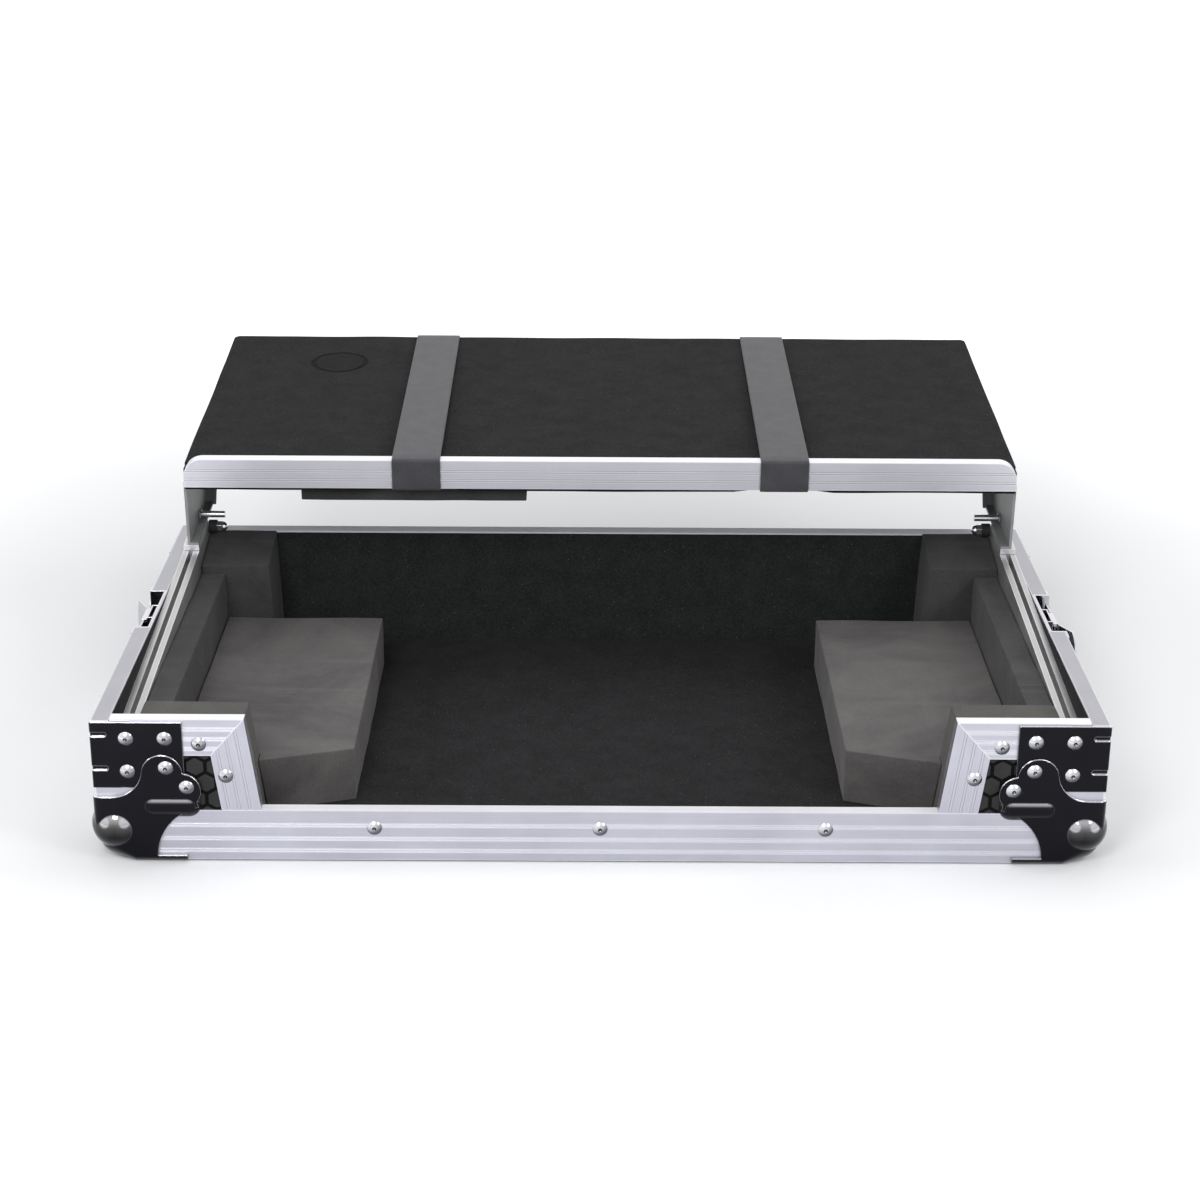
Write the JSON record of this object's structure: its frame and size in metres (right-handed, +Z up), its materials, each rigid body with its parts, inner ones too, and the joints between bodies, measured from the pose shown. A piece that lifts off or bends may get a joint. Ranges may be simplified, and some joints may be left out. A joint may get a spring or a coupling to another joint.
{
  "type": "controller flight case tray",
  "caption": "Open road-case tray for a small audio controller, with foam seats, ball corners, recessed twist latches and a strapped, carpeted laptop shelf that glides forward on sloping tracks.",
  "frame": {"origin": "on the table under the middle of the part's bounding box, with the shelf slid to the back", "axes": "+X to the part's right as seen from the front and along its longest side, +Y to the back, +Z up and along its shortest side"},
  "size_m": [0.66, 0.5737, 0.1958],
  "materials": {
    "laminate": "satin",
    "lining": "matt",
    "trim": "satin",
    "stop_plastic": "matt",
    "track": "satin",
    "corner": "polished",
    "rivet": "polished",
    "bolt": "polished",
    "ring": "matt",
    "foam": "matt",
    "latch": "polished",
    "latch_steel": "satin",
    "plywood": "matt",
    "carpet": "matt",
    "webbing": "matt",
    "leg": "satin",
    "shoe": "satin",
    "screw": "satin"
  },
  "bodies": {
    "base": {"floor_panel": "laminate", "wall_front": "laminate", "wall_back": "laminate", "wall_left": "laminate", "wall_right": "laminate", "lining_floor": "lining", "lining_back": "lining", "lining_sides": "lining", "sill_trim": "trim", "base_trim_sides": "trim", "base_trim_back": "trim", "rim_left": "trim", "rim_right": "trim", "rim_back": "trim", "post_top_left": "trim", "post_top_right": "trim", "post_side_left": "trim", "post_side_right": "trim", "corner_angles": "trim", "corner_brackets": "corner", "ball_corner_fl": "corner", "ball_corner_fr": "corner", "ball_corner_bl": "corner", "ball_corner_br": "corner", "rivets": "rivet", "track_left": "track", "track_right": "track", "track_stops": "stop_plastic", "stop_studs": "bolt", "stop_rings": "ring", "side_pad_left": "foam", "side_pad_right": "foam", "front_pad_left": "foam", "front_pad_right": "foam", "low_pad_left": "foam", "low_pad_right": "foam", "rear_pad_left": "foam", "rear_pad_right": "foam", "latch_dish_left": "latch", "latch_dish_right": "latch"},
    "shelf": {"shelf_board": "plywood", "shelf_carpet": "carpet", "shelf_trim": "trim", "shelf_strip": "foam", "strap_left": "webbing", "strap_right": "webbing", "leg_left": "leg", "leg_right": "leg", "glide_shoes": "shoe", "leg_bolts": "bolt", "leg_screws": "screw"},
    "key_left": {"latch_key_left": "latch"},
    "hook_left": {"latch_hook_left": "latch_steel"},
    "wing_open_left": {"wing_open_left": "latch"},
    "wing_flat_left": {"wing_flat_left": "latch"},
    "key_right": {"latch_key_right": "latch"},
    "hook_right": {"latch_hook_right": "latch_steel"},
    "wing_open_right": {"wing_open_right": "latch"},
    "wing_flat_right": {"wing_flat_right": "latch"}
  },
  "joints": [
    {"name": "shelf_glide", "type": "slide", "parent": "base", "child": "shelf", "axis": [0, 0.9971, 0.0767], "range_m": [-0.275, 0]},
    {"name": "key_turn_left", "type": "hinge", "parent": "base", "child": "key_left", "pos_m": [-0.317, -0.08985, 0.0772], "axis": [-1, 0, 0], "range_deg": [0, 180]},
    {"name": "hook_lift_left", "type": "slide", "parent": "base", "child": "hook_left", "axis": [0, 0, 1], "range_m": [0, 0.0101]},
    {"name": "wing_open_fold_left", "type": "hinge", "parent": "key_left", "child": "wing_open_left", "pos_m": [-0.31825, -0.08085, 0.0772], "axis": [0, 0, 1], "range_deg": [-28, 72]},
    {"name": "wing_flat_fold_left", "type": "hinge", "parent": "key_left", "child": "wing_flat_left", "pos_m": [-0.31825, -0.09885, 0.0772], "axis": [0, 0, -1], "range_deg": [0, 100]},
    {"name": "key_turn_right", "type": "hinge", "parent": "base", "child": "key_right", "pos_m": [0.317, -0.08985, 0.0772], "axis": [1, 0, 0], "range_deg": [0, 180]},
    {"name": "hook_lift_right", "type": "slide", "parent": "base", "child": "hook_right", "axis": [0, 0, 1], "range_m": [0, 0.0101]},
    {"name": "wing_open_fold_right", "type": "hinge", "parent": "key_right", "child": "wing_open_right", "pos_m": [0.31825, -0.09885, 0.0772], "axis": [0, 0, 1], "range_deg": [-28, 72]},
    {"name": "wing_flat_fold_right", "type": "hinge", "parent": "key_right", "child": "wing_flat_right", "pos_m": [0.31825, -0.08085, 0.0772], "axis": [0, 0, -1], "range_deg": [0, 100]}
  ],
  "couplings": [
    {"joint": "hook_lift_left", "follows": "key_turn_left", "m_per_rad": 0.0031831},
    {"joint": "hook_lift_right", "follows": "key_turn_right", "m_per_rad": 0.0031831}
  ]
}
